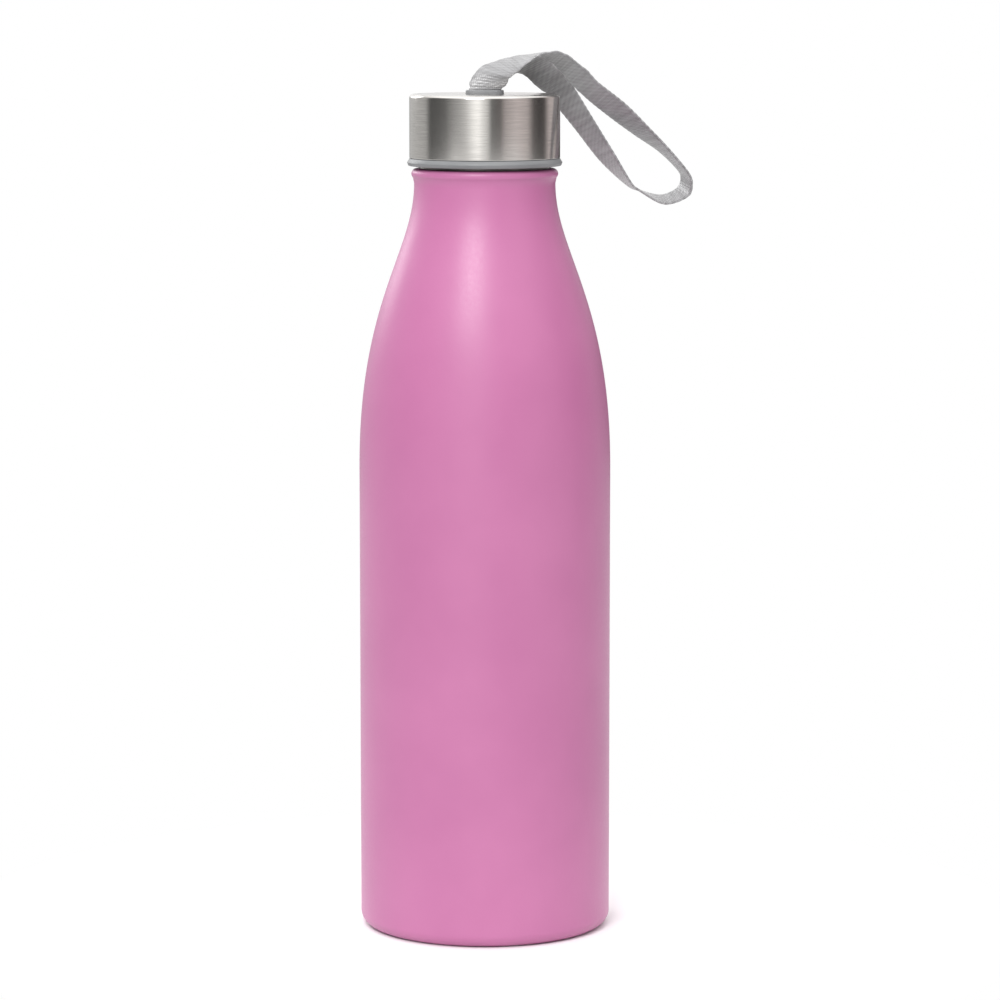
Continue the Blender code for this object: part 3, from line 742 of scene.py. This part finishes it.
def ribbon(look):
    """One woven ribbon with cross ribs and puckered selvedges, from the pin round the loop to the pin."""
    middles, widths, along = route_samples()
    tangents = unit(np.gradient(middles, axis=0))
    widths = unit(widths)
    square = np.cross(widths, tangents)
    ups = unit(square)
    widths /= np.linalg.norm(square, axis=1)[:, None]
    vertices = []
    marks = []
    for i, distance in enumerate(along):
        rise = smooth_step((middles[i][2] - RIBBON_SPREAD[0]) / (RIBBON_SPREAD[1] - RIBBON_SPREAD[0]))
        half = (RIBBON_SLOT_WIDTH + (RIBBON_WIDTH - RIBBON_SLOT_WIDTH) * rise) / 2
        rib = abs(sin(pi * distance / RIB_PITCH))
        scallop = SCALLOP * abs(sin(pi * distance / (2 * RIB_PITCH)))
        pucker = pucker_height(distance) * rise
        for across, up in section(half - SCALLOP + scallop, RIBBON_THICK / 2 - RIB_HEIGHT):
            share = abs(across) / half
            relief = RIB_HEIGHT * rib if up > 0 else -RIB_HEIGHT * (1 - rib)
            lift = up + relief * (1 - share**6)
            lift += pucker * share**3 * (1 if across > 0 else -0.7)
            vertices.append(middles[i] + widths[i] * across + ups[i] * lift)
            marks.append((distance / MM, across / MM))
    return woven(vertices, marks, len(along), look), middles, along


def pucker_height(distance):
    waves = ((5.3, 0.0, 0.09), (3.7, 1.3, 0.06), (8.9, 2.1, 0.08))
    return MM * sum(size * sin(tau * distance / (pitch * MM) + phase) for pitch, phase, size in waves)


def woven(vertices, marks, rows, look):
    count = len(vertices) // rows
    faces = [tuple(range(count))]
    for row in range(rows - 1):
        low, high = row * count, (row + 1) * count
        for k in range(count):
            after = (k + 1) % count
            faces.append((low + k, high + k, high + after, low + after))
    faces.append(tuple(range((rows - 1) * count, rows * count))[::-1])
    points = [tuple(v) for v in vertices]
    made = piece("carry_ribbon", points, faces, look, None, ["strap_loop", "strap_tail"])
    layer = made.data.uv_layers.new(name="weave")
    corners = np.empty(len(made.data.loops), int)
    made.data.loops.foreach_get("vertex_index", corners)
    layer.data.foreach_set("uv", np.array(marks, np.float32)[corners].ravel())
    return made


def carry_loop(look):
    made, middles, along = ribbon(look)
    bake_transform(made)


# ---------------------------------------------------------------- studio


def camera():
    data = bpy.data.cameras.new("camera")
    data.lens = CAMERA_LENS
    data.sensor_width = 36.0
    data.clip_start = 0.05
    data.clip_end = 20.0
    made = bpy.data.objects.new("camera", data)
    made.location = CAMERA_PLACE
    made.rotation_euler = (pi / 2 - CAMERA_PITCH, 0.0, 0.0)
    bpy.context.scene.collection.objects.link(made)
    bpy.context.scene.camera = made


def pale_floor():
    """Matt white near the bottle, running out into plain white further away."""
    made, tree, surface = shader("pale_floor", (0.9, 0.9, 0.9), 0.8)
    surface.inputs["Specular IOR Level"].default_value = 0.2
    away = node(tree, "VectorMath", {"operation": "LENGTH"}, i0=place(tree)).outputs["Value"]
    glow = node(tree, "Emission", Strength=1.0)
    share = mapped(tree, away, 0.05, 0.16, 0.0, 1.0)
    both = node(tree, "MixShader", i0=share, i1=surface.outputs[0], i2=glow.outputs[0])
    tree.links.new(both.outputs[0], tree.nodes["Material Output"].inputs["Surface"])
    return made


def floor():
    mesh = bpy.data.meshes.new("floor")
    corners = [(x * FLOOR_HALF, y * FLOOR_HALF, 0) for x, y in ((-1, -1), (1, -1), (1, 1), (-1, 1))]
    mesh.from_pydata(corners, [], [(0, 1, 2, 3)])
    made = bpy.data.objects.new("floor", mesh)
    bpy.context.scene.collection.objects.link(made)
    mesh.materials.append(pale_floor())


# What stands round the object, by the angle from the front towards the right: degrees, brightness.
SURROUND = (
    (-180, 0.3),
    (-166, 0.5),
    (-150, 0.6),
    (-112, 0.55),
    (-102, 0.5),
    (-92, 0.1),
    (-74, 0.12),
    (-62, 0.16),
    (-52, 0.32),
    (-38, 0.5),
    (-28, 0.72),
    (-16, 1.35),
    (-9, 1.5),
    (-3, 1.1),
    (5, 0.75),
    (10, 0.16),
    (24, 0.13),
    (32, 0.5),
    (50, 0.72),
    (68, 0.6),
    (80, 0.12),
    (94, 0.06),
    (104, 0.1),
    (116, 0.6),
    (128, 0.66),
    (136, 0.5),
    (150, 0.08),
    (168, 0.1),
    (180, 0.3),
)


def studio():
    """White all round and above, with tall lamps and dark flags near the horizon."""
    world = bpy.data.worlds.new("studio")
    bpy.context.scene.world = world
    world.use_nodes = True
    tree = world.node_tree
    backdrop = tree.nodes["Background"]
    parts = node(tree, "SeparateXYZ", Vector=node(tree, "TexCoord").outputs["Generated"]).outputs
    turn = math(tree, "ARCTAN2", parts["X"], math(tree, "MULTIPLY", parts["Y"], -1.0))
    ramp = node(tree, "ValToRGB", i0=mapped(tree, turn, -pi, pi, 0.0, 1.0))
    stops = ramp.color_ramp.elements
    for degrees, brightness in SURROUND[1:-1]:
        stops.new((degrees + 180) / 360)
    for stop, (degrees, brightness) in zip(stops, SURROUND):
        stop.position = (degrees + 180) / 360
        warm = 0.9 if degrees > 12 else 1.0
        stop.color = (brightness, brightness * warm, brightness * (warm - 0.01), 1.0)
    overhead = mapped(tree, parts["Z"], 0.45, 0.75, 0.0, 1.0)
    behind = mapped(tree, parts["Y"], 0.75, 0.9, 0.0, 0.55)
    above_horizon = mapped(tree, parts["Z"], 0.01, 0.06, 0.0, 1.0)
    white = math(tree, "MAXIMUM", overhead, math(tree, "MULTIPLY", behind, above_horizon))
    lit = node(tree, "Mix", {"data_type": "RGBA"}, i0=white, i6=ramp.outputs[0])
    lit.inputs[7].default_value = (1.7, 1.7, 1.7, 1.0)
    seen = node(tree, "LightPath").outputs["Is Camera Ray"]
    shown = node(tree, "Mix", {"data_type": "RGBA"}, i0=seen, i6=lit.outputs[2])
    shown.inputs[7].default_value = (1.0, 1.0, 1.0, 1.0)
    tree.links.new(shown.outputs[2], backdrop.inputs["Color"])


def softbox(name, place_at, aim, width, height, power):
    data = bpy.data.lights.new(name, "AREA")
    data.shape = "RECTANGLE"
    data.size = width
    data.size_y = height
    data.energy = power
    made = bpy.data.objects.new(name, data)
    made.location = place_at
    made.visible_camera = False
    made.rotation_euler = (Vector(aim) - Vector(place_at)).to_track_quat("-Z", "Y").to_euler()
    bpy.context.scene.collection.objects.link(made)


def main():
    bpy.context.scene.view_settings.view_transform = "Standard"
    camera()
    carry_loop(webbing())
    bare = steel("bare_steel", (0.6, 0.58, 0.55), 0.32, 0.4, 0.002 * MM)
    brushed = steel("brushed_steel", (0.62, 0.6, 0.575), 0.18, 0.6, 0.0005 * MM)
    grey = plastic("grey_plastic", (0.185, 0.19, 0.198), (0.225, 0.23, 0.237), 0.42)
    inner = plastic("inner_plastic", (0.68, 0.69, 0.69), (0.76, 0.77, 0.77), 0.45)
    coat(powder_coat())
    steel_shell(bare)
    base(bare)
    cap_cup(brushed)
    insert(grey)
    seal(silicone())
    plug(inner)
    collar(grey)
    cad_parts["strap_pin"].data.materials.clear()
    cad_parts["strap_pin"].data.materials.append(bare)
    floor()
    studio()
    softbox("key", (-0.3, -1.0, 0.95), (0.0, 0.0, 0.19), 0.5, 0.35, KEY_POWER)
    softbox("rim", (-0.75, 0.85, 0.62), (0.02, 0.0, 0.2), 0.5, 0.6, RIM_POWER)


main()
